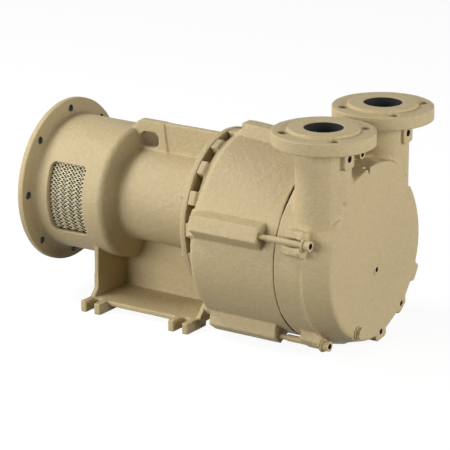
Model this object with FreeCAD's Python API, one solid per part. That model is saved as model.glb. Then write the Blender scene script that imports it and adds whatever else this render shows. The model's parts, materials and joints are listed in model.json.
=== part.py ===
import FreeCAD, Part

import math
import os

from FreeCAD import Vector

# Close-coupled liquid ring vacuum pump: a bracket with a motor flange, lantern, bearing housing and
# foot, an eccentric casing with the impeller, and a head with a suction and a discharge port.
#
# Millimetres. Stations run along the shaft axis (X) from the motor flange's mounting face towards the
# head, heights are counted from the shaft axis, and an angle round an axis is counted from the top
# towards the near side (-Y). The pieces are moved to the row frame at the end: its origin is the middle
# of the four foot slots on the base plane.

# Overall sizes
shaft_height = 200.0
lantern_length = 162.0
shoulder_length = 16.0
housing_length = 172.0
chamber_length = 162.0
head_depth = 105.0

# Motor flange
flange_od = 300.0
flange_thickness = 12.0
flange_bolt_circle = 265.0
flange_bolt_count = 8
flange_hole_d = 13.5
pilot_d = 230.0
pilot_depth = 5.0

# Lantern and its two guarded windows
lantern_od = 244.0
lantern_wall = 10.0
window_start = 45.0
window_length = 78.0
window_height = 128.0
window_corner = 12.0
screen_thickness = 1.5
screen_margin = 11.0

# Bearing housing and the disc that carries the casing
housing_outset = 34.5
housing_wall = 10.0
disc_od = 294.0
disc_thickness = 12.0
cover_recess_depth = 29.0
disc_screw_inset = 14.0

# Foot
foot_plate_thickness = 9.0
foot_thickness = 20.0
foot_plate_width = 206.0
foot_width = 256.0
foot_pad_length = 43.0
foot_slot_width = 18.0
foot_slot_bolt_width = 230.0
foot_slot_run_in = 8.0
foot_inset_front = 20.0
foot_inset_rear = 18.0
foot_wall = 9.0
web_thickness = 10.0

# Lifting rib
rib_height = 137.5
rib_thickness = 11.0
rib_eye_thickness = 16.0
eye_length = 40.0
eye_height = 29.0

# Bearings (45 x 100 x 25)
bearing_bore = 45.0
bearing_od = 100.0
bearing_width = 25.0
ball_d = 17.0
ball_count = 8
ball_clearance = 0.25
bearing_shoulder = 6.0
cover_flange = 8.0
cover_spigot = 8.0
groove_depth = 3.25
cover_overlap = 13.0
cover_screw_outset = 7.0
oil_lip_od = 62.0

# Shaft
coupling_shaft_d = 38.0
lip_shaft_d = 42.0
shaft_shoulder_d = 54.0
seal_shaft_d = 40.0
impeller_shaft_d = 38.0
thread_d = 30.0
key_width = 10.0
key_height = 8.0
key_seat = 5.0

# Jaw coupling
hub_od = 80.0
hub_length = 42.0
motor_shaft_length = 80.0
spider_gap = 24.0
spider_thickness = 18.0
jaw_count = 3
jaw_bore_wall = 1.0
jaw_half_angle = 17.6
arm_half_angle = 12.2

# Casing
casing_od = 326.0
casing_wall = 10.0
rear_wall = 12.0
pad_depth = 16.0
pad_ring_width = 29.0
pad_count = 16
pad_angle = 10.0
eccentricity = 31.5
seal_pocket_d = 66.0
seal_pocket_depth = 12.0
seal_boss_d = 96.0
seal_boss_length = 12.0

# Impeller
tip_gap = 1.5
side_gap = 0.6
impeller_hub_d = 96.0
vane_count = 14
vane_thickness = 5.0
vane_arc_radius = 92.0
seal_counterbore_d = 72.0
seal_space = 34.0
nut_counterbore_d = 60.0
nut_space = 28.6
nut_flats = 46.0
nut_height = 20.0
nut_washer = 3.0

# Tie bolts
tie_outset = 12.0
tie_angles = (0.0, 72.0, 145.0, -141.0, -72.0)
tie_d = 12.0
tie_waist_d = 10.0
tie_head_d = 18.0
tie_head_length = 12.0
tie_washer_d = 24.0
tie_washer_thickness = 2.5
tie_depth = 30.0
boss_rise = 22.0
boss_base_half = 27.0
boss_top_half = 13.0
boss_inset_rear = 3.0
boss_inset_front = 25.0

# Port plate and valve
gasket_thickness = 1.2
gasket_inset = 1.5
plate_thickness = 12.0
plate_inset = 5.0
port_inner_r = 54.0
suction_outer_r = 88.0
discharge_outer_r = 92.0
valve_hole_d = 11.0
valve_hole_count = 6
valve_hole_r = 70.0

# Head and ports
head_wall = 10.0
head_side_wall = 15.0
nose_inset = 12.0
nose_edge = 5.0
crown_half_angle = 50.0
partition = 8.0
bead_height = 3.0
bead_width = 4.0
lug_station_back = 44.0
lug_rise = 20.0
lug_half = 23.0
lug_length = 37.0
rim_lug_angles = (-117.0, -141.0, -171.0)
rim_lug_width = 34.0
jack_hole_angles = (-141.0, -171.0)
jack_hole_d = 9.0
jack_hole_inset = 14.0
port_setback = 48.0
port_spacing = 196.0
port_height = 211.5
port_flange_od = 177.8
port_flange_thickness = 28.8
raised_face_d = 122.0
raised_face = 5.5
port_bolt_circle = 139.7
port_bolt_count = 4
port_hole_d = 19.0
port_bore = 68.0
port_land = 40.0
duct_d = 70.0
neck_od = 96.0
gauge_pad_width = 30.0
gauge_pad_bottom = 146.0
gauge_height = 163.0
gauge_hole_d = 11.4
drain_hole_d = 20.0
drain_angle = 153.24
drain_inset = 25.25
centre_hole_d = 8.0
centre_height = -58.0

# Clearances
thread_fit = 0.05
slide_fit = 0.02
press_gap = 0.1
running_fit = 0.05

# Stations that follow from the sizes
shoulder_end = lantern_length + shoulder_length
disc_back = shoulder_end + housing_length
disc_front = disc_back + disc_thickness
rear_wall_back = disc_front + pad_depth
chamber_back = rear_wall_back + rear_wall
casing_front = chamber_back + chamber_length
head_back = casing_front + gasket_thickness
head_front = head_back + head_depth
plate_front = head_back + plate_thickness
port_station = head_front - port_setback
bolt_seat = head_front - lug_station_back
foot_front = lantern_length - foot_inset_front
foot_rear = disc_back - foot_inset_rear
origin_station = (foot_front + foot_rear) / 2
end_wall = lantern_length - 4.0
front_bearing = end_wall + cover_spigot
rear_bearing = disc_back - bearing_width - bearing_width
rear_cover_seat = disc_front - cover_recess_depth
impeller_back = chamber_back + side_gap
impeller_front = head_back - side_gap
impeller_stop = impeller_back + seal_space - side_gap
washer_seat = impeller_front - nut_space
shaft_start = motor_shaft_length + spider_gap
shaft_end = washer_seat + nut_washer + nut_height + 2.0
casing_r = casing_od / 2
bore_r = casing_r - casing_wall
impeller_r = bore_r - eccentricity - tip_gap
casing_z = -eccentricity
base_z = -shaft_height
housing_od = bearing_od + 2 * housing_outset
disc_screw_r = disc_od / 2 - disc_screw_inset
race_thickness = (bearing_od - bearing_bore) / 4 - ball_d / 2 + groove_depth
cover_r = bearing_od / 2 + cover_overlap
cover_screw_r = bearing_od / 2 + cover_screw_outset
jaw_inner_r = coupling_shaft_d / 2 + jaw_bore_wall
tie_r = casing_r + tie_outset
plate_r = casing_r - plate_inset
head_inner_r = casing_r - head_side_wall
nose_r = casing_r - nose_inset
drain_r = casing_r - drain_inset
drain_across = -drain_r * math.sin(math.radians(drain_angle))
drain_height = casing_z + drain_r * math.cos(math.radians(drain_angle))


# Basic forms

def cylinder_x(radius, start, end, y=0.0, z=0.0):
    return Part.makeCylinder(radius, end - start, Vector(start, y, z), Vector(1, 0, 0))


def cylinder_z(radius, low, high, x, y):
    return Part.makeCylinder(radius, high - low, Vector(x, y, low))


def ring_x(outer, inner, start, end, y=0.0, z=0.0):
    return cylinder_x(outer, start, end, y, z).cut(cylinder_x(inner, start - 1, end + 1, y, z))


def block(x0, x1, y0, y1, z0, z1):
    return Part.makeBox(x1 - x0, y1 - y0, z1 - z0, Vector(x0, y0, z0))


def rounded_face(corners):
    """A face from corner points, each (vector, radius): a radius rounds its corner with an arc."""
    count = len(corners)
    edges = []
    starts = []
    ends = []
    middles = []
    for i, (point, radius) in enumerate(corners):
        before = corners[i - 1][0] - point
        after = corners[(i + 1) % count][0] - point
        if radius <= 0:
            starts.append(point)
            ends.append(point)
            middles.append(None)
            continue
        half = before.getAngle(after) / 2
        reach = min(radius / math.tan(half), 0.49 * before.Length, 0.49 * after.Length)
        before.normalize()
        after.normalize()
        bisector = (before + after).normalize()
        depth = reach / math.cos(half) - reach * math.tan(half)
        starts.append(point + before * reach)
        ends.append(point + after * reach)
        middles.append(point + bisector * depth)
    for i in range(count):
        if middles[i] is not None:
            edges.append(Part.Arc(starts[i], middles[i], ends[i]).toShape())
        edges.append(Part.LineSegment(ends[i], starts[(i + 1) % count]).toShape())
    return Part.Face(Part.Wire(edges))


def with_radius(corners, place):
    return [(place(*corner[:2]), corner[2] if len(corner) > 2 else 0.0) for corner in corners]


def turned(corners, z=0.0):
    """A body of revolution about an X axis at height z, from (station, radius, rounding) corners."""
    face = rounded_face(with_radius(corners, lambda x, r: Vector(x, 0, r + z)))
    return face.revolve(Vector(0, 0, z), Vector(1, 0, 0), 360)


def plate_xz(corners, half_width, y=0.0):
    face = rounded_face(with_radius(corners, lambda x, h: Vector(x, y - half_width, h)))
    return face.extrude(Vector(0, 2 * half_width, 0))


def plate_yz(corners, start, end):
    face = rounded_face(with_radius(corners, lambda y, h: Vector(start, y, h)))
    return face.extrude(Vector(end - start, 0, 0))


def plate_xy(corners, low, high):
    face = rounded_face(with_radius(corners, lambda x, y: Vector(x, y, low)))
    return face.extrude(Vector(0, 0, high - low))


def turned_to(shape, angle, z=0.0):
    """A copy turned about the X axis at height z, from the top towards the near side."""
    copy = shape.copy()
    copy.rotate(Vector(0, 0, z), Vector(1, 0, 0), angle)
    return copy


def hexagon_x(flats, start, end, y=0.0, z=0.0):
    corner = flats / math.sqrt(3)
    points = [
        Vector(start, y + corner * math.sin(math.radians(60 * k)), z + corner * math.cos(math.radians(60 * k)))
        for k in range(7)
    ]
    return Part.Face(Part.makePolygon(points)).extrude(Vector(end - start, 0, 0))


def joined(shapes):
    first = shapes[0]
    return first.fuse(shapes[1:]).removeSplitter() if len(shapes) > 1 else first


def mirrored(shape):
    return shape.mirror(Vector(0, 0, 0), Vector(0, 1, 0))


def round_pattern(shape, count, first=0.0, z=0.0):
    return [turned_to(shape, first + 360.0 * k / count, z) for k in range(count)]


def sector(radius, start, end, first, last):
    """A wedge about the shaft axis between two angles."""
    wedge = Part.makeCylinder(radius, end - start, Vector(start, 0, 0), Vector(1, 0, 0), last - first)
    wedge.rotate(Vector(0, 0, 0), Vector(1, 0, 0), first - wedge_start_angle())
    return wedge


def wedge_start_angle():
    """The angle at which an X cylinder's seam lies, measured from a thin test wedge."""
    probe = Part.makeCylinder(10.0, 1.0, Vector(0, 0, 0), Vector(1, 0, 0), 2.0)
    centre = probe.CenterOfMass
    return math.degrees(math.atan2(-centre.y, centre.z)) - 1.0


# Bracket: motor flange, lantern, bearing housing, disc, foot and lifting rib in one casting

def bracket_envelope():
    lantern_r = lantern_od / 2
    return turned([
        (0, 0),
        (0, flange_od / 2, 1.5),
        (flange_thickness, flange_od / 2, 1.5),
        (flange_thickness, lantern_r, 11.0),
        (lantern_length, lantern_r, 14.0),
        (shoulder_end, housing_od / 2, 9.0),
        (disc_back, housing_od / 2, 5.0),
        (disc_back, disc_od / 2, 1.5),
        (disc_front, disc_od / 2, 1.5),
        (disc_front, 0),
    ])


def bracket_cavity():
    seat = bearing_od / 2 + slide_fit
    lip = bearing_od / 2 - 6.0
    inner = housing_od / 2 - housing_wall
    inner_lantern = lantern_od / 2 - lantern_wall
    front_lip = front_bearing + bearing_width
    rear_lip = rear_bearing
    return turned([
        (-1, 0),
        (-1, pilot_d / 2),
        (pilot_depth, pilot_d / 2),
        (pilot_depth, inner_lantern),
        (end_wall, inner_lantern, 8.0),
        (end_wall, seat),
        (front_lip, seat),
        (front_lip, lip),
        (front_lip + bearing_shoulder, lip),
        (front_lip + bearing_shoulder + 14.0, inner, 8.0),
        (rear_lip - bearing_shoulder - 14.0, inner, 8.0),
        (rear_lip - bearing_shoulder, lip),
        (rear_lip, lip),
        (rear_lip, seat),
        (rear_cover_seat, seat),
        (rear_cover_seat, inner, 3.0),
        (disc_front + 1, inner),
        (disc_front + 1, 0),
    ])


def foot():
    top = base_z + foot_thickness
    half = foot_plate_width / 2
    start = foot_front - foot_pad_length / 2 + 1.0
    end = foot_rear + foot_pad_length / 2 + 4.0
    plate = plate_xy([
        (start, -half + 14, 6.0), (start, half - 14, 6.0), (start + 20, half, 6.0), (end - 12, half, 6.0),
        (end, half - 12, 6.0), (end, -half + 12, 6.0), (end - 12, -half, 6.0), (start + 20, -half, 6.0),
    ], top - foot_plate_thickness, top)
    pieces = [plate]
    pad = foot_pad_length / 2
    for centre in (foot_front, foot_rear):
        for side in (-1, 1):
            pieces.append(plate_xy([
                (centre - pad, side * (foot_width / 2 - 60)), (centre + pad, side * (foot_width / 2 - 60)),
                (centre + pad, side * foot_width / 2, 3.0), (centre - pad, side * foot_width / 2, 3.0),
            ], base_z, top))
    front = foot_front - foot_pad_length / 2 + 1.0
    pieces.append(plate_yz([
        (-100, top - 2), (-86, top + 14, 10.0), (-84, -60), (84, -60), (86, top + 14, 10.0), (100, top - 2),
    ], front, front + foot_wall))
    rear = end - foot_wall - 1.0
    drop = math.sqrt((disc_od / 2) ** 2 - 52.0 ** 2)
    pieces.append(plate_yz([
        (-94, top - 2), (-88, top + 5, 6.0), (-52, -drop), (-40, -drop + 8), (40, -drop + 8), (52, -drop),
        (88, top + 5, 6.0), (94, top - 2),
    ], rear, rear + foot_wall))
    pieces.append(plate_xz([
        (front, top - 2), (front, -70), (disc_back + 1, -70), (disc_back + 1, top - 2),
    ], web_thickness / 2))
    return pieces


def foot_slots():
    cuts = []
    radius = foot_slot_width / 2
    inner = foot_slot_bolt_width / 2 - foot_slot_run_in
    for centre in (foot_front, foot_rear):
        for side in (-1, 1):
            cuts.append(cylinder_z(radius, base_z - 1, base_z + 60, centre, side * inner))
            near, far = sorted((side * inner, side * (foot_width / 2 + 5)))
            cuts.append(block(centre - radius, centre + radius, near, far, base_z - 1, base_z + 60))
    return cuts


def lifting_rib():
    low = housing_od / 2 - 8.0
    eye_end = lantern_length + 60.0
    thin = plate_xz([
        (lantern_length - 12, low), (lantern_length - 9, lantern_od / 2 - 1), (lantern_length + 7, rib_height, 7.0),
        (disc_back + 2, rib_height), (disc_back + 2, low),
    ], rib_thickness / 2)
    thick = plate_xz([
        (lantern_length - 12, low), (lantern_length - 9, lantern_od / 2 - 1), (lantern_length + 7, rib_height, 7.0),
        (eye_end, rib_height), (eye_end + 9, low),
    ], rib_eye_thickness / 2)
    return [thin, thick]


def lifting_eye():
    middle_x = lantern_length + 29.0
    middle_z = 103.0
    half_l = eye_length / 2
    half_h = eye_height / 2
    return plate_xz([
        (middle_x - half_l, middle_z - half_h, 13.0), (middle_x - half_l, middle_z + half_h, 13.0),
        (middle_x + half_l, middle_z + half_h, 13.0), (middle_x + half_l, middle_z - half_h, 13.0),
    ], rib_eye_thickness)


def window_cut():
    half = window_height / 2
    end = window_start + window_length
    return plate_xz([
        (window_start, -half, window_corner), (window_start, half, window_corner),
        (end, half, window_corner), (end, -half, window_corner),
    ], lantern_od)


def screen_screw_places():
    """(station, angle) of the screws that hold one guard screen, round the near side."""
    spread = screen_half_angle() - 3.0
    stations = (window_start - 6.0, window_start + window_length + 6.0)
    return [(s, 90.0 + a) for s in stations for a in (-spread, spread)]


def screen_half_angle():
    inner = lantern_od / 2 - lantern_wall
    return math.degrees(math.asin(window_height / 2 / inner)) + math.degrees(screen_margin / inner) + 1.0


def bracket():
    body = joined([bracket_envelope()] + foot() + lifting_rib())
    cuts = [bracket_cavity(), window_cut(), lifting_eye()] + foot_slots()
    flange_hole = cylinder_x(flange_hole_d / 2, -1, flange_thickness + 1, 0, flange_bolt_circle / 2)
    cuts += round_pattern(flange_hole, flange_bolt_count)
    cover_hole = cylinder_x(3 + thread_fit, end_wall - 1, end_wall + 14, 0, cover_screw_r)
    cuts += round_pattern(cover_hole, 4, 45)
    rear_hole = cylinder_x(3 + thread_fit, rear_cover_seat - 14, rear_cover_seat + 1, 0, cover_screw_r)
    cuts += round_pattern(rear_hole, 4, 45)
    disc_hole = cylinder_x(5.5, disc_back - 6, disc_front + 1, 0, disc_screw_r)
    cuts += round_pattern(disc_hole, 8, 22.5)
    depth = lantern_od / 2 - lantern_wall + 6.0
    for station, angle in screen_screw_places():
        hole = Part.makeCylinder(2.5 + thread_fit, depth - 100, Vector(station, 0, 100))
        cuts.append(turned_to(hole, angle))
        cuts.append(mirrored(turned_to(hole, angle)))
    return body.cut(cuts)


def guard_screen():
    outer = lantern_od / 2 - lantern_wall - 0.2
    inner = outer - screen_thickness
    start = window_start - screen_margin
    end = window_start + window_length + screen_margin
    half = screen_half_angle()
    sheet = ring_x(outer, inner, start, end).common(sector(outer + 1, start, end, 90 - half, 90 + half))
    holes = []
    for station, angle in screen_screw_places():
        hole = Part.makeCylinder(2.7, outer - 90, Vector(station, 0, 95))
        holes.append(turned_to(hole, angle))
    return sheet.cut(holes)


def guard_screws():
    inner = lantern_od / 2 - lantern_wall - 0.2 - screen_thickness
    solids = []
    for station, angle in screen_screw_places():
        shank = Part.makeCylinder(2.5, 8.0, Vector(station, 0, inner - 1.0))
        head = Part.makeCylinder(4.5, 2.8, Vector(station, 0, inner - 3.0))
        screw = turned_to(head.fuse(shank), angle)
        solids += [screw, mirrored(screw)]
    return solids


# Bearings, covers and lip seals

def bearing_outer_ring(start):
    ring = ring_x(bearing_od / 2, bearing_od / 2 - race_thickness, start, start + bearing_width)
    return ring.cut(ball_groove(start))


def bearing_inner_ring(start):
    ring = ring_x(bearing_bore / 2 + race_thickness, bearing_bore / 2, start, start + bearing_width)
    return ring.cut(ball_groove(start))


def ball_pitch_r():
    return (bearing_od + bearing_bore) / 4


def ball_groove(start):
    middle = Vector(start + bearing_width / 2, 0, 0)
    return Part.makeTorus(ball_pitch_r(), ball_d / 2 + ball_clearance, middle, Vector(1, 0, 0))


def bearing_balls(start):
    ball = Part.makeSphere(ball_d / 2, Vector(start + bearing_width / 2, 0, ball_pitch_r()))
    return round_pattern(ball, ball_count)


def bearing_cage(start):
    middle = start + bearing_width / 2
    pitch = ball_pitch_r()
    ring = ring_x(pitch + 1.8, pitch - 1.8, middle - 10.5, middle + 10.5)
    pocket = Part.makeCylinder(ball_d / 2 + press_gap, 2 * pitch, Vector(middle, 0, 0))
    pocket = pocket.cut(cylinder_x(pitch - 6, middle - 20, middle + 20))
    return ring.cut(round_pattern(pocket, ball_count))


def cover(start, direction):
    """A bearing cover: direction 1 has its flange on the lantern side, -1 on the casing side."""
    def at(offset):
        return start + direction * offset
    body = turned([
        (at(0), oil_lip_od / 2), (at(0), cover_r, 1.5), (at(cover_flange), cover_r),
        (at(cover_flange), bearing_od / 2 - 0.05), (at(cover_flange + cover_spigot), bearing_od / 2 - 0.05),
        (at(cover_flange + cover_spigot), bearing_od / 2 - 10), (at(cover_flange + 2), bearing_od / 2 - 10),
        (at(cover_flange + 2), lip_shaft_d / 2 + 3), (at(cover_flange), lip_shaft_d / 2 + 3),
        (at(cover_flange), oil_lip_od / 2),
    ])
    low, high = sorted((at(-1), at(cover_flange + 1)))
    hole = cylinder_x(3.3, low, high, 0, cover_screw_r)
    return body.cut(round_pattern(hole, 4, 45))


def cover_screws(start, direction):
    def bar(radius, a, b):
        low, high = sorted((start + direction * a, start + direction * b))
        return cylinder_x(radius, low, high, 0, cover_screw_r)
    screw = bar(3.0, -0.5, cover_flange + 12).fuse(bar(5.0, -6, 0)).removeSplitter()
    low, high = sorted((start - direction * 6.5, start - direction * 3))
    screw = screw.cut(hexagon_x(5.0, low, high, 0, cover_screw_r))
    return round_pattern(screw, 4, 45)


def lip_seal(start, direction):
    def at(offset):
        return start + direction * offset
    outer = oil_lip_od / 2
    shaft = lip_shaft_d / 2 + running_fit
    return turned([
        (at(0.5), outer), (at(0.5), shaft + 3), (at(3.5), shaft), (at(4.5), shaft), (at(4.5), outer - 3),
        (at(7.5), outer - 3), (at(7.5), outer),
    ])


def retaining_ring(start):
    ring = ring_x(27.0, bearing_bore / 2 - 1.2 + slide_fit, start, start + 1.75)
    return ring.cut(block(start - 1, start + 3, -4, 4, -40, 0))


# Shaft with its keys

def keyseat(start, length, diameter):
    depth = diameter / 2 - key_seat
    return block(start, start + length, -key_width / 2 - slide_fit, key_width / 2 + slide_fit, depth, depth + 20)


def key(start, length, diameter):
    bottom = diameter / 2 - key_seat
    return block(start + 0.1, start + length - 0.1, -key_width / 2, key_width / 2, bottom, bottom + key_height)


def shaft():
    bearing_r = bearing_bore / 2
    front_end = front_bearing + bearing_width
    rear_end = rear_bearing + bearing_width
    body = turned([
        (shaft_start, 0), (shaft_start, coupling_shaft_d / 2 - 1.5), (shaft_start + 1.5, coupling_shaft_d / 2),
        (shaft_start + hub_length + 2, coupling_shaft_d / 2), (shaft_start + hub_length + 2, lip_shaft_d / 2),
        (front_bearing - 4, lip_shaft_d / 2), (front_bearing - 4, bearing_r), (front_end, bearing_r),
        (front_end, shaft_shoulder_d / 2), (rear_bearing, shaft_shoulder_d / 2), (rear_bearing, bearing_r),
        (rear_end + 4, bearing_r), (rear_end + 4, lip_shaft_d / 2), (rear_cover_seat + 8, lip_shaft_d / 2),
        (rear_cover_seat + 8, seal_shaft_d / 2), (impeller_stop, seal_shaft_d / 2),
        (impeller_stop, impeller_shaft_d / 2), (washer_seat - 1, impeller_shaft_d / 2),
        (washer_seat - 1, thread_d / 2), (shaft_end - 2, thread_d / 2), (shaft_end, thread_d / 2 - 2),
        (shaft_end, 0),
    ])
    groove = bearing_r - 1.2
    cuts = [ring_x(bearing_r + 5, groove, front_bearing - 1.75, front_bearing)]
    cuts.append(ring_x(bearing_r + 5, groove, rear_end, rear_end + 1.75))
    cuts.append(keyseat(*coupling_key_place()))
    cuts.append(keyseat(*impeller_key_place()))
    return body.cut(cuts)


def coupling_key_place():
    return shaft_start + 3, hub_length - 6, coupling_shaft_d


def impeller_key_place():
    return impeller_stop + 10, washer_seat - impeller_stop - 20, impeller_shaft_d


# Jaw coupling in the lantern

def jaw_ring(start, end, first):
    jaws = []
    for k in range(jaw_count):
        centre = first + 360.0 * k / jaw_count
        wedge = sector(hub_od / 2, start, end, centre - jaw_half_angle, centre + jaw_half_angle)
        jaws.append(wedge.cut(cylinder_x(jaw_inner_r, start - 1, end + 1)))
    return jaws


def coupling_hub(start, end, jaws, bore):
    body = turned([
        (start, bore), (start, hub_od / 2, 1.5), (end, hub_od / 2, 1.5), (end, bore),
    ])
    way = block(start - 1, end + 1, -key_width / 2 - slide_fit, key_width / 2 + slide_fit, 0, bore + 3.4)
    middle = (start + end) / 2
    screw_hole = Part.makeCylinder(4 + thread_fit, hub_od, Vector(middle, 0, 0))
    hub = joined([body] + jaws)
    return hub.cut([way, turned_to(screw_hole, 180)])


def coupling_hub_motor():
    end = motor_shaft_length
    jaws = jaw_ring(end - 1, end + spider_gap - 3, 0)
    return coupling_hub(end - hub_length, end, jaws, coupling_shaft_d / 2 + slide_fit)


def coupling_hub_pump():
    start = shaft_start
    jaws = jaw_ring(start - spider_gap + 3, start + 1, 180.0 / jaw_count)
    return coupling_hub(start, start + hub_length, jaws, coupling_shaft_d / 2 + slide_fit)


def coupling_set_screws():
    solids = []
    for middle, bottom in (
        (motor_shaft_length - hub_length / 2, coupling_shaft_d / 2 + 1.0),
        (shaft_start + hub_length / 2, coupling_shaft_d / 2 + 0.1),
    ):
        screw = Part.makeCylinder(4, hub_od / 2 - 3 - bottom, Vector(middle, 0, bottom))
        solids.append(turned_to(screw, 180))
    return solids


def coupling_spider():
    start = motor_shaft_length + (spider_gap - spider_thickness) / 2
    end = start + spider_thickness
    arms = [cylinder_x(jaw_inner_r - 0.4, start, end)]
    for k in range(2 * jaw_count):
        centre = (k + 0.5) * 180.0 / jaw_count
        arms.append(sector(hub_od / 2 - 1, start, end, centre - arm_half_angle, centre + arm_half_angle))
    return joined(arms).cut(cylinder_x(10.0, start - 1, end + 1))


# Casing

def tie_boss():
    """A trapezoid rib for a tie bolt, at the top of the casing."""
    start = rear_wall_back - boss_inset_rear
    inner = casing_r - 8.0
    face = rounded_face([
        (Vector(start, -boss_base_half, casing_z + inner), 0.0),
        (Vector(start, -boss_top_half, casing_z + casing_r + boss_rise), 1.5),
        (Vector(start, boss_top_half, casing_z + casing_r + boss_rise), 1.5),
        (Vector(start, boss_base_half, casing_z + inner), 0.0),
    ])
    return face.extrude(Vector(casing_front - boss_inset_front - start, 0, 0))


def round_tie_bolts(shape):
    return [turned_to(shape, angle, casing_z) for angle in tie_angles]


def casing():
    shell = turned([
        (rear_wall_back, 0), (rear_wall_back, casing_r, 12.0), (casing_front, casing_r), (casing_front, 0),
    ], casing_z)
    pad_r = disc_od / 2
    pads = turned([
        (disc_front, pad_r - pad_ring_width), (disc_front, pad_r, 1.5), (disc_front + 12, pad_r, 4.0),
        (disc_front + 38, casing_r - eccentricity - 4), (disc_front + 38, pad_r - pad_ring_width),
    ])
    seal_boss = cylinder_x(seal_boss_d / 2, rear_wall_back - seal_boss_length, rear_wall_back + 1)
    body = joined([shell, pads, seal_boss] + round_tie_bolts(tie_boss()))
    cuts = [cylinder_x(bore_r, chamber_back, casing_front + 1, 0, casing_z)]
    cuts.append(cylinder_x(seal_shaft_d / 2 + 2, rear_wall_back - seal_boss_length - 1, chamber_back + 1))
    cuts.append(cylinder_x(seal_pocket_d / 2, chamber_back - seal_pocket_depth, chamber_back + 1))
    pitch = 360.0 / pad_count
    gap = ring_x(pad_r + 8, pad_r - pad_ring_width - 1, disc_front - 1, rear_wall_back)
    gap = gap.common(sector(pad_r + 9, disc_front - 1, rear_wall_back, pad_angle / 2, pitch - pad_angle / 2))
    cuts += round_pattern(gap, pad_count)
    screw_hole = cylinder_x(5 + thread_fit, disc_front - 1, rear_wall_back + 2, 0, disc_screw_r)
    cuts += round_pattern(screw_hole, 8, 22.5)
    boss_front = casing_front - boss_inset_front
    bolt_hole = cylinder_x(tie_d / 2 + thread_fit, boss_front - tie_depth - 3, boss_front + 1, 0,
                           casing_z + tie_r)
    cuts += round_tie_bolts(bolt_hole)
    return body.cut(cuts)


def disc_screws():
    radius = disc_screw_r
    shank = cylinder_x(5, disc_back - 1, rear_wall_back, 0, radius)
    head = hexagon_x(16, disc_back - 6.4, disc_back, 0, radius)
    return round_pattern(head.fuse(shank).removeSplitter(), 8, 22.5)


def casing_gasket():
    return ring_x(casing_r - gasket_inset, bore_r + 0.5, casing_front, head_back, 0, casing_z)


# Mechanical seal

def seal_seat():
    start = chamber_back - seal_pocket_depth
    return ring_x(29.0, seal_shaft_d / 2 + 1.5, start + 0.5, start + 10)


def seal_seat_cup():
    start = chamber_back - seal_pocket_depth
    return ring_x(seal_pocket_d / 2 - 0.02, 29.02, start, start + 9)


def seal_face():
    start = chamber_back - seal_pocket_depth + 10
    return ring_x(28.0, seal_shaft_d / 2 + 1.0, start + running_fit, start + 8)


def seal_bellows():
    start = chamber_back - seal_pocket_depth + 18
    outer, inner = 27.5, 23.5
    fold = 2.4
    corners = [(start, seal_shaft_d / 2 + 1.5), (start, outer)]
    for k in range(4):
        corners.append((start + fold * (k + 0.5), inner + 1.2))
        corners.append((start + fold * (k + 1), outer))
    end = start + fold * 4
    corners.append((end + 1.5, outer))
    corners.append((end + 1.5, seal_shaft_d / 2 + 1.5))
    return turned(corners)


def seal_collar():
    start = chamber_back - seal_pocket_depth + 18 + 2.4 * 4 + 1.5
    return ring_x(30.0, seal_shaft_d / 2 + slide_fit, start, impeller_stop)


def slinger():
    start = rear_cover_seat + cover_flange + 4
    shaft_r = seal_shaft_d / 2 + slide_fit
    return turned([
        (start, shaft_r), (start, 34.0), (start + 2, 34.0), (start + 3, shaft_r + 6), (start + 8, shaft_r + 6),
        (start + 8, shaft_r),
    ])


# Impeller with forward-curved vanes

def vane():
    """One vane at the top: it leaves the hub radially and its tip leans towards the near side, which
    is the way the impeller turns."""
    root = impeller_hub_d / 2 - 4.0
    half = vane_thickness / 2
    centre_y = -vane_arc_radius
    blank = []
    for radius in (vane_arc_radius + half, vane_arc_radius - half):
        blank.append(cylinder_x(radius, impeller_back, impeller_front, centre_y, root))
    curved = blank[0].cut(blank[1])
    zone = block(impeller_back, impeller_front, centre_y, half + 1, root, root + impeller_r)
    return curved.common(zone)


def impeller():
    hub = cylinder_x(impeller_hub_d / 2, impeller_back, impeller_front)
    tip = cylinder_x(impeller_r, impeller_back, impeller_front)
    vanes = [v.common(tip) for v in round_pattern(vane(), vane_count)]
    body = joined([hub] + vanes)
    bore = impeller_shaft_d / 2 + slide_fit
    start, length, diameter = impeller_key_place()
    way_top = diameter / 2 - key_seat + key_height + 0.2
    cuts = [
        cylinder_x(bore, impeller_back - 1, impeller_front + 1),
        cylinder_x(seal_counterbore_d / 2, impeller_back - 1, impeller_stop),
        cylinder_x(nut_counterbore_d / 2, washer_seat, impeller_front + 1),
        block(impeller_stop - 1, washer_seat + 1, -key_width / 2 - slide_fit, key_width / 2 + slide_fit, 0, way_top),
    ]
    return body.cut(cuts)


def impeller_washer():
    return ring_x(28.0, thread_d / 2 + 0.3, washer_seat, washer_seat + nut_washer)


def impeller_nut():
    start = washer_seat + nut_washer
    nut = hexagon_x(nut_flats, start, start + nut_height)
    return nut.cut(cylinder_x(thread_d / 2 + thread_fit, start - 1, start + nut_height + 1))


# Port plate and discharge valve

def crescent(outer_r, first, last):
    """The space between the hub and the liquid ring, between two angles, as a cut through the plate."""
    ring = cylinder_x(outer_r, head_back - 1, plate_front + 1, 0, casing_z)
    ring = ring.cut(cylinder_x(port_inner_r, head_back - 2, plate_front + 2))
    return ring.common(sector(2 * plate_r, head_back - 1, plate_front + 1, first, last))


def valve_hole_angles():
    return [-74.0 - 11.0 * k for k in range(valve_hole_count)]


def port_plate():
    plate = cylinder_x(plate_r, head_back, plate_front, 0, casing_z)
    cuts = [crescent(suction_outer_r, 30, 140), crescent(discharge_outer_r, -60, -12)]
    hole = cylinder_x(valve_hole_d / 2, head_back - 1, plate_front + 1, 0, valve_hole_r)
    cuts += [turned_to(hole, angle) for angle in valve_hole_angles()]
    for angle in valve_screw_angles():
        cuts.append(turned_to(cylinder_x(3 + thread_fit, plate_front - 10, plate_front + 1, 0, valve_hole_r), angle))
    return plate.cut(cuts)


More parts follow.
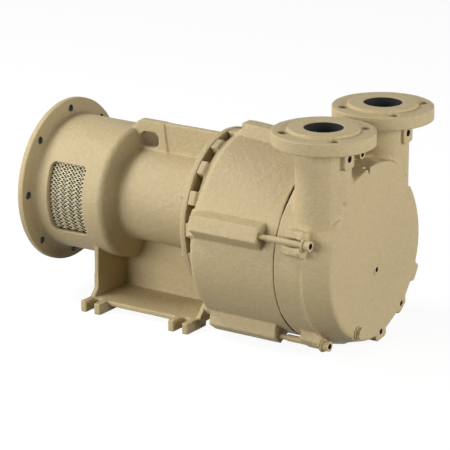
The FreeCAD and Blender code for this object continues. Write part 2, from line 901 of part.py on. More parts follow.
def valve_screw_angles():
    angles = valve_hole_angles()
    return (angles[0] + 12.0, angles[-1] - 12.0)


def valve_strip(start, thickness, width):
    angles = valve_screw_angles()
    ring = ring_x(valve_hole_r + width / 2, valve_hole_r - width / 2, start, start + thickness)
    strip = ring.common(sector(valve_hole_r + width, start, start + thickness, angles[1] - 5.5, angles[0] + 5.5))
    hole = cylinder_x(3.2, start - 1, start + thickness + 1, 0, valve_hole_r)
    return strip.cut([turned_to(hole, angle) for angle in angles])


def valve_screws():
    start = plate_front + 5.0
    screw = cylinder_x(3, plate_front - 8, start + 0.5, 0, valve_hole_r)
    screw = screw.fuse(cylinder_x(5, start, start + 4, 0, valve_hole_r)).removeSplitter()
    return [turned_to(screw, angle) for angle in valve_screw_angles()]


# Head with the suction and discharge chambers, necks and flanges

def neck(side, body):
    """A neck with its flange and gauge pad, standing on the head's body."""
    y = side * port_spacing / 2
    radius = neck_od / 2
    underside = port_height - port_flange_thickness
    rim_top = port_height - raised_face
    half = gauge_pad_width / 2
    outside = joined([
        cylinder_z(radius, 0, underside + 1, port_station, y),
        cylinder_z(port_flange_od / 2, underside, rim_top, port_station, y),
        cylinder_z(raised_face_d / 2, rim_top - 1, port_height, port_station, y),
        plate_yz([
            (y - half, gauge_pad_bottom, 5.0), (y - half, underside + 1), (y + half, underside + 1),
            (y + half, gauge_pad_bottom, 5.0),
        ], port_station + port_bore / 2 + 4, port_station + radius + 4),
    ])
    return outside.cut([body] + neck_cuts(side))


def neck_cuts(side):
    y = side * port_spacing / 2
    cuts = [cylinder_z(port_bore / 2, port_height - port_land, port_height + 1, port_station, y)]
    cuts.append(cylinder_z(duct_d / 2, 20, port_height - port_land, port_station, y))
    for k in range(port_bolt_count):
        turn = math.radians(45 + 360.0 * k / port_bolt_count)
        x = port_station + port_bolt_circle / 2 * math.cos(turn)
        hole_y = y + port_bolt_circle / 2 * math.sin(turn)
        low = port_height - port_flange_thickness - 1
        cuts.append(cylinder_z(port_hole_d / 2, low, port_height + 1, x, hole_y))
    front = port_station + neck_od / 2 + 5
    cuts.append(cylinder_x(gauge_hole_d / 2, port_station, front, y, gauge_height))
    return cuts


def tie_lug():
    """The forked lug that a tie bolt lies in, at the top of the head."""
    inner = casing_z + casing_r - 12.0
    top = casing_z + casing_r + lug_rise
    back = bolt_seat - lug_length
    across = tie_d / 2 + 1.5
    front = plate_yz([
        (-lug_half, inner), (-lug_half, top - 5.0, 5.0), (-lug_half + 7.0, top, 3.0), (lug_half - 7.0, top, 3.0),
        (lug_half, top - 5.0, 5.0), (lug_half, inner),
    ], bolt_seat - 9.0, bolt_seat)
    prongs = [
        plate_yz([
            (side * across, inner), (side * across, top - 2.0, 2.0), (side * (lug_half - 1.0), top - 4.0, 4.0),
            (side * (lug_half - 1.0), inner),
        ], back, bolt_seat - 8.0)
        for side in (-1, 1)
    ]
    return joined([front] + prongs)


def tie_lug_slot():
    z = casing_z + tie_r
    across = tie_d / 2 + 0.6
    slot = block(bolt_seat - lug_length - 1, bolt_seat + 1, -across, across, z, z + 20)
    return slot.fuse(cylinder_x(across, bolt_seat - lug_length - 1, bolt_seat + 1, 0, z))


def rim_lug():
    """A small cast lug on the head's front edge, at the top of the head."""
    half = rim_lug_width / 2
    top = casing_z + casing_r
    return plate_yz([
        (-half, top - 30.0), (-half, top - 3.0, 3.0), (-half + 6.0, top, 3.0), (half - 6.0, top, 3.0),
        (half, top - 3.0, 3.0), (half, top - 30.0),
    ], bolt_seat - 2.0, head_front)


def crown():
    """The head's full outline between and round the necks, with the notch between the two chambers."""
    body = turned([
        (head_back, 0), (head_back, casing_r), (head_front, casing_r, 2.5), (head_front, 0),
    ], casing_z)
    wedge = sector(2 * casing_r, head_back - 1, head_front + 1, -crown_half_angle, crown_half_angle)
    top = casing_z + casing_r
    notch = plate_yz([
        (-32.0, top + 2.0), (-25.0, top - 17.0), (-21.0, top + 2.0),
    ], head_front - 12.0, head_front + 1)
    return body.common(wedge).cut(notch)


def drum():
    """The head's outside without its necks."""
    shell = turned([
        (head_back, 0), (head_back, casing_r), (bolt_seat, casing_r), (head_front, nose_r, nose_edge),
        (head_front, 0),
    ], casing_z)
    bead = ring_x(casing_r + bead_height, casing_r - 3, bolt_seat - bead_width, bolt_seat, 0, casing_z)
    pieces = [shell, bead, crown()] + round_tie_bolts(tie_lug())
    pieces += [turned_to(rim_lug(), angle, casing_z) for angle in rim_lug_angles]
    pieces.append(cylinder_x(8.0, head_front - 2, head_front + 3, 0, centre_height))
    pieces.append(cylinder_x(17.0, head_front - 2, head_front + 3, drain_across, drain_height))
    return joined(pieces)


def head(body):
    chamber = turned([
        (plate_front - 1, 0), (plate_front - 1, head_inner_r), (bolt_seat, head_inner_r),
        (head_front - head_wall, nose_r - head_wall, 8.0), (head_front - head_wall, 0),
    ], casing_z)
    chamber = chamber.cut(block(plate_front, head_front, -partition / 2, partition / 2, -2 * casing_r, 2 * casing_r))
    cuts = [chamber] + neck_cuts(-1) + neck_cuts(1)
    cuts.append(cylinder_x(plate_r + 0.2, head_back - 1, plate_front, 0, casing_z))
    cuts += round_tie_bolts(tie_lug_slot())
    cuts.append(cylinder_x(centre_hole_d / 2, head_front - 9, head_front + 4, 0, centre_height))
    cuts.append(cylinder_x(drain_hole_d / 2, head_front - head_wall - 2, head_front + 4, drain_across, drain_height))
    jack_z = casing_z + casing_r - jack_hole_inset
    jack_hole = cylinder_x(jack_hole_d / 2, head_front - 22, head_front + 1, 0, jack_z)
    cuts += [turned_to(jack_hole, angle, casing_z) for angle in jack_hole_angles]
    return body.cut(cuts)


def tie_bolts():
    z = casing_z + tie_r
    boss_front = casing_front - boss_inset_front
    seat = bolt_seat + tie_washer_thickness
    bolt = joined([
        cylinder_x(tie_d / 2, boss_front - tie_depth, boss_front + 1, 0, z),
        cylinder_x(tie_waist_d / 2, boss_front, boss_front + 19, 0, z),
        cylinder_x(tie_d / 2, boss_front + 18, seat + 1, 0, z),
        cylinder_x(tie_head_d / 2, seat, seat + tie_head_length, 0, z),
    ])
    bolt = bolt.cut(hexagon_x(10.0, seat + tie_head_length - 6, seat + tie_head_length + 1, 0, z))
    return round_tie_bolts(bolt)


def tie_washers():
    z = casing_z + tie_r
    washer = ring_x(tie_washer_d / 2, tie_d / 2 + 0.5, bolt_seat, bolt_seat + tie_washer_thickness, 0, z)
    return round_tie_bolts(washer)


def drain_plug():
    seat = head_front + 3
    thread = cylinder_x(drain_hole_d / 2 - thread_fit, seat - 14, seat + 1, drain_across, drain_height)
    collar = cylinder_x(12.5, seat, seat + 2, drain_across, drain_height)
    top = hexagon_x(19.0, seat + 1, seat + 9, drain_across, drain_height)
    return joined([thread, collar, top])


# All pieces by name

def pieces():
    front_cover = end_wall - cover_flange
    rear_cover = rear_cover_seat + cover_flange
    head_drum = drum()
    return {
        "bracket": bracket(),
        "guard_screen_near": guard_screen(),
        "guard_screen_far": mirrored(guard_screen()),
        "guard_screws": guard_screws(),
        "front_bearing_cover": cover(front_cover, 1),
        "front_cover_screws": cover_screws(front_cover, 1),
        "front_lip_seal": lip_seal(front_cover, 1),
        "front_bearing_outer_ring": bearing_outer_ring(front_bearing),
        "front_bearing_inner_ring": bearing_inner_ring(front_bearing),
        "front_bearing_balls": bearing_balls(front_bearing),
        "front_bearing_cage": bearing_cage(front_bearing),
        "front_retaining_ring": retaining_ring(front_bearing - 1.75),
        "rear_bearing_cover": cover(rear_cover, -1),
        "rear_cover_screws": cover_screws(rear_cover, -1),
        "rear_lip_seal": lip_seal(rear_cover, -1),
        "rear_bearing_outer_ring": bearing_outer_ring(rear_bearing),
        "rear_bearing_inner_ring": bearing_inner_ring(rear_bearing),
        "rear_bearing_balls": bearing_balls(rear_bearing),
        "rear_bearing_cage": bearing_cage(rear_bearing),
        "rear_retaining_ring": retaining_ring(rear_bearing + bearing_width),
        "shaft": shaft(),
        "coupling_key": key(*coupling_key_place()),
        "coupling_hub_motor": coupling_hub_motor(),
        "coupling_hub_pump": coupling_hub_pump(),
        "coupling_spider": coupling_spider(),
        "coupling_set_screws": coupling_set_screws(),
        "slinger": slinger(),
        "casing": casing(),
        "disc_screws": disc_screws(),
        "casing_gasket": casing_gasket(),
        "seal_seat": seal_seat(),
        "seal_seat_cup": seal_seat_cup(),
        "seal_face": seal_face(),
        "seal_bellows": seal_bellows(),
        "seal_collar": seal_collar(),
        "impeller": impeller(),
        "impeller_key": key(*impeller_key_place()),
        "impeller_washer": impeller_washer(),
        "impeller_nut": impeller_nut(),
        "port_plate": port_plate(),
        "valve_flap": valve_strip(plate_front, 2.0, 18.0),
        "valve_retainer": valve_strip(plate_front + 2.0, 3.0, 12.0),
        "valve_screws": valve_screws(),
        "head": head(head_drum),
        "suction_neck": neck(-1, head_drum),
        "discharge_neck": neck(1, head_drum),
        "tie_bolts": tie_bolts(),
        "tie_washers": tie_washers(),
        "drain_plug": drain_plug(),
    }


def main():
    os.makedirs("parts", exist_ok=True)
    for name, solids in pieces().items():
        shape = Part.makeCompound(solids) if isinstance(solids, list) else solids
        shape.translate(Vector(-origin_station, 0, shaft_height))
        print(name, len(shape.Solids), "solids", round(shape.Volume / 1000, 1), "cm3", shape.isValid())
        shape.exportStep("parts/%s.step" % name)


main()
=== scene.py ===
"""Looks of a liquid ring vacuum pump: sprayed sand castings, guard screens, screws, seals and a studio."""

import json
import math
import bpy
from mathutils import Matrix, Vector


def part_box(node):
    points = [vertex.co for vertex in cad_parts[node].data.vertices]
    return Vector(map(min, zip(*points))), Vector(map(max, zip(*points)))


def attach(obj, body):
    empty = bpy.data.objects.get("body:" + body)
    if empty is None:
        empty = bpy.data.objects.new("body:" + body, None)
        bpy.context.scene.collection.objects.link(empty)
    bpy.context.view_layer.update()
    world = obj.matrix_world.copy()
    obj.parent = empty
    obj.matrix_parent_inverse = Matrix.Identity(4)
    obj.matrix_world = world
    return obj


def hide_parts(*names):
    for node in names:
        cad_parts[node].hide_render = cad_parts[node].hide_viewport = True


bl_info = {
    "name": "Liquid Ring Vacuum Pump",
    "version": (1, 0, 0),
    "blender": (4, 5, 0),
    "location": "3D View > Sidebar > Pump",
    "description": "Finishes the packed pump and sets up a plain studio round it",
    "category": "Object",
}

import bmesh
import bpy
import numpy as np
from bpy.props import FloatProperty, FloatVectorProperty, IntProperty, PointerProperty
from bpy.types import Operator, Panel, PropertyGroup
from mathutils import Vector, noise

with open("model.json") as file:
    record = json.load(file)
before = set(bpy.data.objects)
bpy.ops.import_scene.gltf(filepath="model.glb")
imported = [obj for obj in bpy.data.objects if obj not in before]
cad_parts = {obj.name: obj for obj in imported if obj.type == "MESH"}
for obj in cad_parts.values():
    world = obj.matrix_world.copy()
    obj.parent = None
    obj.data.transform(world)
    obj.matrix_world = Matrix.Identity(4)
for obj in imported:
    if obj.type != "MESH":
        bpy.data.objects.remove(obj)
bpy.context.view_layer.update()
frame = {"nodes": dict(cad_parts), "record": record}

MM = 0.001

# From the frame: the shaft's height, the casing's axis below it, and the faces that other sizes start from
SHAFT_Z = (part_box("shaft")[0].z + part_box("shaft")[1].z) / 2
CASING_Z = (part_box("casing_gasket")[0].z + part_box("casing_gasket")[1].z) / 2
PORT_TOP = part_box("suction_neck")[1].z
FLANGE_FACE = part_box("bracket")[0].x
TIE_BOLT_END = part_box("tie_bolts")[1].x

# The castings' sizes that their skins are shaped by
PORT_X = 373.2 * MM
PORT_Y = 98 * MM
NECK_R = 48 * MM
HEAD_R = 163 * MM
HEAD_FRONT = PORT_X + 48 * MM
CASING_R = 163 * MM
CASING_REAR = 141 * MM
RIB_START = 138 * MM
MOTOR_HOLES_R = 132.5 * MM
TIE_HOLES_R = 175 * MM
RIM_HOLES_R = 149 * MM
GAUGE_PAD_FACE = PORT_X + 50 * MM
GAUGE_PAD_Z = SHAFT_Z + 163 * MM
TAPPED_HOLE_Z = SHAFT_Z - 58 * MM
LANTERN_R = 113 * MM
LANTERN_START = 5.5 * MM
LANTERN_END = 159 * MM
WINDOW_START = 45 * MM
WINDOW_LENGTH = 78 * MM
WINDOW_HEIGHT = 128 * MM

# Degrees from the top towards -Y round the casing
TIE_ANGLES = (0.0, 72.0, 145.0, -141.0, -72.0)
RIM_HOLE_ANGLES = (-141.0, -171.0)
RIB_HALF_ANGLE = 11.0

# Each kind of hole painted dark for the shade inside it: its radius, and how far it runs each way from its
# middle
HOLES = {
    "motor": (6.75 * MM, 5.2 * MM),
    "duct": (35.8 * MM, 54.8 * MM),
    "gauge": (5.7 * MM, 12 * MM),
    "rim": (4.5 * MM, 11.4 * MM),
    "tapped": (4.0 * MM, 6.4 * MM),
    "socket": (5.3 * MM, 3.0 * MM),
}

# How far round a neck's foot its blend reaches, and how deep the foot is sunk before the skin is made
BLEND_REACH = 16 * MM
FOOT_DEPTH = 4 * MM

# The rise of the casing's top over the disc, which fades out down the sides and towards the head
TOP_RISE = 16 * MM
TOP_RIB_RISE = 12.5 * MM
RISE_SHOULDER = 17 * MM
RISE_FADE = 154 * MM
RISE_FADE_POWER = 1.5
RISE_FULL_ANGLE = 25.0
RISE_END_ANGLE = 75.0
RISE_SKIN = 6 * MM
RISE_SKIN_EASE = 4 * MM

# How far the ribs' rear ends are moved, and over what length the rest of the rib makes up for it
RIB_SETBACK = 16 * MM
RIB_STRETCH = 52 * MM

# How far out of the casing a rib is taken to begin: the top one grows out of the pad behind it
TOP_RIB_ROOT = 13.5 * MM
RIB_ROOT = 1.5 * MM

# The top rib's height over the casing, from where its lift falls behind the casing's to where it is least,
# and the height of its rear end, from where that end is lifted to where it has the full lift
CREST_START = 4 * MM
CREST_RUN = 18 * MM
RIB_END_START = 15.5 * MM
RIB_END_RUN = 6.5 * MM

# The flat strip down a neck: angles from the outer side towards the front, and its heights
STRIP_MIDDLE = math.radians(68.5)
STRIP_HALF = math.radians(21.5)
STRIP_BOTTOM = 232 * MM
STRIP_BOTTOM_EASE = 10 * MM
STRIP_TOP = 384 * MM
STRIP_TOP_EASE = 8 * MM

# The slow unevenness of the moulds: how long its waves are and how high
MOULD_WAVE = 45 * MM
MOULD_RISE = 0.25 * MM

# How far off its surface a vertex or a face may lie and still be taken as on it
MERGE_MARGIN = 0.001 * MM
FOOT_MARGIN = 0.2 * MM
HOLE_MARGIN = 0.5 * MM
RIB_MARGIN = 1.2 * MM
NECK_MARGIN = 2.5 * MM

# How far outside its dust screen the middle of the expanded sheet lies
SCREEN_GAP = 0.6 * MM

ALONG = Vector((1, 0, 0))
UPRIGHT = Vector((0, 0, 1))
STATIC = "pump"


def linear(code):
    """An sRGB hex value as linear red, green and blue."""
    values = []
    for start in (0, 2, 4):
        share = int(code[start:start + 2], 16) / 255
        values.append(share / 12.92 if share <= 0.04045 else ((share + 0.055) / 1.055) ** 2.4)
    return tuple(values)


def rgba(code):
    return linear(code) + (1.0,)


# Sizes and colours that a user would change

class PumpFinish(PropertyGroup):
    enamel: FloatVectorProperty(
        name="Enamel", description="Colour of the sprayed enamel on the castings", subtype="COLOR",
        size=3, min=0.0, max=1.0, default=linear("b8a67f"))
    # Painted shade: this darker enamel is mixed in towards hollows and creases for the shade there, as well
    # as in the coat's random mottle
    enamel_mottle_and_hollow_shade: FloatVectorProperty(
        name="Enamel in recesses", description="Colour of the enamel where dust and overspray lie",
        subtype="COLOR", size=3, min=0.0, max=1.0, default=linear("9b8a63"))
    grain: FloatProperty(
        name="Sand grain", description="Width of the casting's grain as it shows through the enamel",
        default=3.6 * MM, min=0.5 * MM, max=10 * MM, unit="LENGTH")
    grain_depth: FloatProperty(
        name="Grain depth", description="Height of the casting's grain under the enamel",
        default=1.4 * MM, min=0.0, max=3 * MM, unit="LENGTH")


class PumpCasting(PropertyGroup):
    voxel: FloatProperty(
        name="Skin step", description="Grid on which the soft-edged skin of a casting is made",
        default=1.5 * MM, min=1.2 * MM, max=10 * MM, unit="LENGTH")
    triangles: IntProperty(
        name="Triangles", description="Most triangles in one casting's finished skin", default=190000,
        min=20000)
    rounds: IntProperty(
        name="Edge rounds", description="Smoothing rounds that wear a casting's edges soft", default=1, min=0,
        max=20)
    blend_rounds: IntProperty(
        name="Fillet rounds", description="Smoothing rounds where the necks grow out of the head", default=40,
        min=0, max=200)


class PumpGuard(PropertyGroup):
    cell_length: FloatProperty(
        name="Opening length", description="Pitch of the openings along the shaft", default=11.4 * MM,
        min=2 * MM, max=20 * MM, unit="LENGTH")
    cell_height: FloatProperty(
        name="Opening height", description="Pitch of the openings round the lantern", default=7.0 * MM,
        min=1 * MM, max=20 * MM, unit="LENGTH")
    strand: FloatProperty(
        name="Strand width", description="Width of the metal between two openings", default=2.3 * MM,
        min=0.2 * MM, max=5 * MM, unit="LENGTH")
    sheet: FloatProperty(
        name="Sheet", description="Thickness of the sheet that was slit and drawn", default=1.1 * MM,
        min=0.2 * MM, max=3 * MM, unit="LENGTH")
    corner: FloatProperty(
        name="Corner radius", description="Rounding of an opening's corners", default=0.7 * MM,
        min=0.0, max=3 * MM, unit="LENGTH")
    tilt: FloatProperty(
        name="Strand tilt", description="How far each opening leans out of the sheet",
        default=math.radians(24), min=0.0, max=math.radians(60), subtype="ANGLE")


class PumpStudio(PropertyGroup):
    azimuth: FloatProperty(
        name="Camera azimuth", description="Angle of the camera round the pump, from -Y towards +X",
        default=math.radians(33.41), subtype="ANGLE")
    elevation: FloatProperty(
        name="Camera elevation", description="Angle of the camera above the horizon",
        default=math.radians(17.5), subtype="ANGLE")
    distance: FloatProperty(
        name="Camera distance", description="From the camera to the point it aims at", default=5.091,
        min=0.5, unit="LENGTH")
    lens: FloatProperty(
        name="Focal length", description="Focal length on a 36 mm sensor, in millimetres", default=223.3,
        min=10.0)
    key_power: FloatProperty(
        name="Key light", description="Power of the high soft light on the motor's side, in watts",
        default=75.0, min=0.0)
    front_power: FloatProperty(
        name="Front light", description="Power of the low wide light on the near side, in watts",
        default=90.0, min=0.0)
    side_power: FloatProperty(
        name="Side light", description="Power of the low wide light that faces the head, in watts",
        default=88.0, min=0.0)
    room: FloatProperty(
        name="Room light", description="Strength of the even light from all round", default=0.03, min=0.0)


# Objects and meshes

def add_object(name, mesh):
    """An object at the origin that holds the mesh."""
    made = bpy.data.objects.new(name, mesh)
    bpy.context.scene.collection.objects.link(made)
    return made


def read_points(mesh):
    """The mesh's vertices as rows of X, Y and Z."""
    flat = np.empty(len(mesh.vertices) * 3)
    mesh.vertices.foreach_get("co", flat)
    return flat.reshape(-1, 3)


def write_points(mesh, points):
    mesh.vertices.foreach_set("co", points.ravel())
    mesh.update()


def baked(piece):
    """Turns the piece's modifiers into its plain mesh and removes them."""
    graph = bpy.context.evaluated_depsgraph_get()
    mesh = bpy.data.meshes.new_from_object(piece.evaluated_get(graph))
    piece.modifiers.clear()
    piece.data = mesh
    return piece


def smooth_shaded(mesh):
    mesh.polygons.foreach_set("use_smooth", [True] * len(mesh.polygons))
    mesh.update()


def softened(mesh, weight, rounds):
    """Draws each vertex towards the middle of its neighbours, by its own weight from 0 to 1."""
    points = read_points(mesh)
    edges = np.empty(len(mesh.edges) * 2, dtype=np.int64)
    mesh.edges.foreach_get("vertices", edges)
    first, second = edges.reshape(-1, 2).T
    count = len(points)
    degree = np.maximum(np.bincount(edges, minlength=count), 1)[:, None]
    share = 0.5 * np.broadcast_to(np.asarray(weight, dtype=float), count)[:, None]
    for _ in range(rounds):
        total = np.stack([
            np.bincount(first, points[second, axis], count) + np.bincount(second, points[first, axis], count)
            for axis in range(3)
        ], axis=1)
        points += share * (total / degree - points)
    write_points(mesh, points)


def finished(piece, material, body, slot, *nodes):
    """Gives a piece its material where it has none and its body, and hides the nodes that it stands for; the
    slot is not used.
    """
    if not piece.data.materials:
        piece.data.materials.append(material)
    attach(piece, body)
    if nodes:
        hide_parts(*nodes)
    return piece


# Materials

def add(tree, kind, inputs=(), **settings):
    """Adds a node with its settings, and links or fills its inputs by name or number."""
    made = tree.nodes.new(kind)
    for name, value in settings.items():
        setattr(made, name, value)
    for socket, value in dict(inputs).items():
        if isinstance(value, bpy.types.NodeSocket):
            tree.links.new(value, made.inputs[socket])
        else:
            made.inputs[socket].default_value = value
    return made


def new_material(name):
    """A material, its empty tree and the output of its Object coordinates."""
    material = bpy.data.materials.new(name)
    material.use_nodes = True
    tree = material.node_tree
    tree.nodes.clear()
    where = add(tree, "ShaderNodeTexCoord").outputs["Object"]
    return material, tree, where


def sprayed_enamel(name, colour, shade, grain, depth, gloss):
    """Sprayed alkyd enamel on a sand casting: satin, with the sand's grain showing through and painted shade
    in its hollows.
    """
    material, tree, where = new_material(name)
    # Sand grain, coarser than the real grit so that it shows at this size
    grit = add(tree, "ShaderNodeTexNoise", {
        "Vector": where, "Scale": 0.5 / grain, "Detail": 3.0, "Roughness": 0.62})
    # Slow waves of the mould, 30 to 50 mm long
    waves = add(tree, "ShaderNodeTexNoise", {
        "Vector": where, "Scale": 0.5 / (40 * MM), "Detail": 2.0, "Roughness": 0.5})
    # Runs and thin places in the sprayed coat, about 90 mm apart
    coat = add(tree, "ShaderNodeTexNoise", {
        "Vector": where, "Scale": 0.5 / (90 * MM), "Detail": 4.0, "Roughness": 0.55})
    mottle = add(tree, "ShaderNodeMapRange", {
        "Value": grit.outputs["Fac"], "From Min": 0.3, "From Max": 0.7, "To Min": -0.12, "To Max": 0.12})
    drift = add(tree, "ShaderNodeMapRange", {
        "Value": coat.outputs["Fac"], "From Min": 0.3, "From Max": 0.7, "To Min": 0.05, "To Max": 0.2})
    # Painted shade: in hollows and creases the enamel is drawn towards its darker colour, for the shade that
    # falls there; edges keep the plain colour
    edge = add(tree, "ShaderNodeNewGeometry").outputs["Pointiness"]
    painted_hollow_shade = add(tree, "ShaderNodeMapRange", {
        "Value": edge, "From Min": 0.5, "From Max": 0.44, "To Min": 0.0, "To Max": 0.55})
    both = add(tree, "ShaderNodeMath", {0: mottle.outputs[0], 1: drift.outputs[0]}, operation="ADD")
    shaded = add(tree, "ShaderNodeMath", {0: both.outputs[0], 1: painted_hollow_shade.outputs[0]}, operation="ADD")
    paint = add(tree, "ShaderNodeMix", {
        "Factor": shaded.outputs[0], "A": (*colour, 1.0), "B": (*shade, 1.0)}, data_type="RGBA")
    bump = add(tree, "ShaderNodeBump", {
        "Height": grit.outputs["Fac"], "Distance": depth, "Strength": 1.0})
    swell = add(tree, "ShaderNodeBump", {
        "Height": waves.outputs["Fac"], "Distance": 0.5 * MM, "Strength": 1.0, "Normal": bump.outputs[0]})
    sheen = add(tree, "ShaderNodeMapRange", {
        "Value": grit.outputs["Fac"], "From Min": 0.3, "From Max": 0.7, "To Min": gloss - 0.05,
        "To Max": gloss + 0.08})
    shader = add(tree, "ShaderNodeBsdfPrincipled", {
        "Base Color": paint.outputs["Result"], "Roughness": sheen.outputs[0], "IOR": 1.5,
        "Specular IOR Level": 0.28, "Normal": swell.outputs[0]})
    add(tree, "ShaderNodeOutputMaterial", {"Surface": shader.outputs[0]})
    return material


def plain_coat(name, colour, shade, roughness, metallic, grain, depth, stretch=(1.0, 1.0, 1.0)):
    """A metal, rubber or plastic surface: two close colours over its grain, and the grain's own relief."""
    material, tree, where = new_material(name)
    mapped = add(tree, "ShaderNodeMapping", {"Vector": where, "Scale": stretch})
    grit = add(tree, "ShaderNodeTexNoise", {
        "Vector": mapped.outputs[0], "Scale": 0.5 / grain, "Detail": 3.0, "Roughness": 0.6})
    blend = add(tree, "ShaderNodeMapRange", {"Value": grit.outputs["Fac"], "From Min": 0.3, "From Max": 0.7})
    paint = add(tree, "ShaderNodeMix", {
        "Factor": blend.outputs[0], "A": rgba(colour), "B": rgba(shade)}, data_type="RGBA")
    gloss = add(tree, "ShaderNodeMapRange", {
        "Value": grit.outputs["Fac"], "From Min": 0.3, "From Max": 0.7, "To Min": roughness - 0.05,
        "To Max": roughness + 0.06})
    bump = add(tree, "ShaderNodeBump", {"Height": grit.outputs["Fac"], "Distance": depth, "Strength": 1.0})
    shader = add(tree, "ShaderNodeBsdfPrincipled", {
        "Base Color": paint.outputs["Result"], "Roughness": gloss.outputs[0], "Metallic": metallic,
        "Normal": bump.outputs[0]})
    add(tree, "ShaderNodeOutputMaterial", {"Surface": shader.outputs[0]})
    return material


MATERIALS = {}


def make_materials(finish):
    """Makes the material of each slot, and two painted shades: one inside the ducts and holes, one behind the
    guards.
    """
    colour = tuple(finish.enamel)
    shade = tuple(finish.enamel_mottle_and_hollow_shade)
    made = MATERIALS
    made["body_paint"] = sprayed_enamel(
        "enamel_on_sand_casting", colour, shade, finish.grain, finish.grain_depth, 0.54)
    made["painted_fasteners"] = sprayed_enamel(
        "enamel_on_steel_screws", colour, shade, 1.6 * MM, 0.08 * MM, 0.5)
    # Painted shade: a matt near black on the faces inside ducts, drilled holes, sockets and the lantern,
    # where shade falls, so that the ports read as dark holes
    made["duct_black"] = plain_coat(
        "painted_shade_in_holes", "0c0d0e", "111213", 0.85, 0.0, 3 * MM, 0.2 * MM)
    # Painted shade: the sheet behind the expanded steel is made near black, so that the openings read as
    # holes into the dark lantern
    made["guard_backing"] = plain_coat(
        "painted_shade_behind_mesh", "0b0b0b", "141312", 0.9, 0.0, 1.2 * MM, 0.05 * MM)
    # Galvanised expanded steel with a dusting of the enamel: pale, with bright worn crowns
    made["guard_mesh"] = plain_coat(
        "galvanised_expanded_steel", "ddd2b4", "c3b792", 0.38, 0.15, 2 * MM, 0.05 * MM)
    # Nitrile rubber: matt black with a moulding's fine skin
    made["black_rubber"] = plain_coat("nitrile_rubber", "0d0d0d", "171615", 0.7, 0.0, 2 * MM, 0.05 * MM)
    # Turned steel: the tool's fine rings run round the shaft, so the grain is drawn out round it
    made["machined_steel"] = plain_coat(
        "turned_steel", "a9abae", "8d9093", 0.32, 1.0, 0.8 * MM, 0.02 * MM, (3.0, 0.25, 0.25))
    # Ground and polished bearing steel
    made["bearing_steel"] = plain_coat(
        "polished_bearing_steel", "c4c6c8", "b5b7ba", 0.14, 1.0, 3 * MM, 0.005 * MM)
    # Machined brass cage
    made["cage_brass"] = plain_coat("machined_brass", "c79e58", "b58a45", 0.3, 1.0, 1.5 * MM, 0.02 * MM)
    # Grey iron, machined then left bare: dark graphite flecks
    made["grey_iron"] = plain_coat(
        "machined_grey_iron", "6a6a6b", "4f4f50", 0.48, 0.85, 1.2 * MM, 0.04 * MM)
    # Cast polyurethane: dull red, slightly soft surface
    made["spider_elastomer"] = plain_coat(
        "cast_polyurethane", "9c2a1c", "85221a", 0.45, 0.0, 3 * MM, 0.05 * MM)
    # Cast bronze: warm brown with a grainy as-cast skin
    made["impeller_bronze"] = plain_coat(
        "sand_cast_bronze", "a87d48", "8a6437", 0.42, 1.0, 2.2 * MM, 0.15 * MM)
    # Lapped carbon: near black with a dull polish
    made["seal_carbon"] = plain_coat("lapped_carbon", "1c1c1e", "26262a", 0.28, 0.0, 1 * MM, 0.005 * MM)
    # Lapped alumina: cream and glossy
    made["seal_ceramic"] = plain_coat("lapped_alumina", "e6e0d0", "dcd5c3", 0.18, 0.0, 2 * MM, 0.005 * MM)
    # Skived fluoropolymer sheet: white, waxy
    made["valve_plastic"] = plain_coat(
        "skived_fluoropolymer", "e8e8e4", "dadad4", 0.38, 0.0, 3 * MM, 0.02 * MM)


# The castings' soft-edged skins

def casting_skin(nodes, name, casting):
    """A casting's skin: the nodes' joint shape with the soft edges and blended corners of a sand mould."""
    shape = bmesh.new()
    for node in nodes:
        part = bmesh.new()
        part.from_mesh(frame["nodes"][node].data)
        bmesh.ops.remove_doubles(part, verts=part.verts, dist=MERGE_MARGIN)
        if node != nodes[0]:
            rooted(part)
        held = bpy.data.meshes.new(node + "_held")
        part.to_mesh(held)
        part.free()
        shape.from_mesh(held)
        bpy.data.meshes.remove(held)
    mesh = bpy.data.meshes.new(name)
    shape.to_mesh(mesh)
    shape.free()
    piece = add_object(name, mesh)
    skin = piece.modifiers.new("skin", "REMESH")
    skin.mode = "VOXEL"
    skin.voxel_size = casting.voxel
    baked(piece)
    keep_largest(piece.data)
    softened(piece.data, 1.0, casting.rounds)
    return piece


def rooted(neck):
    """Sinks the foot of a neck a little way into the drum under it, so that the two make one skin."""
    for point in neck.verts:
        if math.hypot(point.co.y, point.co.z - CASING_Z) < HEAD_R + FOOT_MARGIN:
            point.co.z -= FOOT_DEPTH


def keep_largest(mesh):
    """Leaves only the largest connected shell of a mesh."""
    count = len(mesh.vertices)
    edges = np.empty(len(mesh.edges) * 2, dtype=np.int64)
    mesh.edges.foreach_get("vertices", edges)
    first, second = edges.reshape(-1, 2).T
    label = np.arange(count)
    while True:
        lowest = label.copy()
        np.minimum.at(lowest, first, label[second])
        np.minimum.at(lowest, second, label[first])
        lowest = lowest[lowest]
        if np.array_equal(lowest, label):
            break
        label = lowest
    names, sizes = np.unique(label, return_counts=True)
    if len(names) > 1:
        shape = bmesh.new()
        shape.from_mesh(mesh)
        shape.verts.ensure_lookup_table()
        stray = np.flatnonzero(label != names[np.argmax(sizes)])
        bmesh.ops.delete(shape, geom=[shape.verts[int(spot)] for spot in stray], context="VERTS")
        shape.to_mesh(mesh)
        shape.free()


def wavy(mesh, height):
    """Raises and lowers the skin along its normals by the slow unevenness of a mould."""
    normals = np.empty(len(mesh.vertices) * 3)
    mesh.vertices.foreach_get("normal", normals)
    points = read_points(mesh)
    rise = np.array([noise.noise(Vector(point) / MOULD_WAVE) for point in points])
    write_points(mesh, points + height * rise[:, None] * normals.reshape(-1, 3))


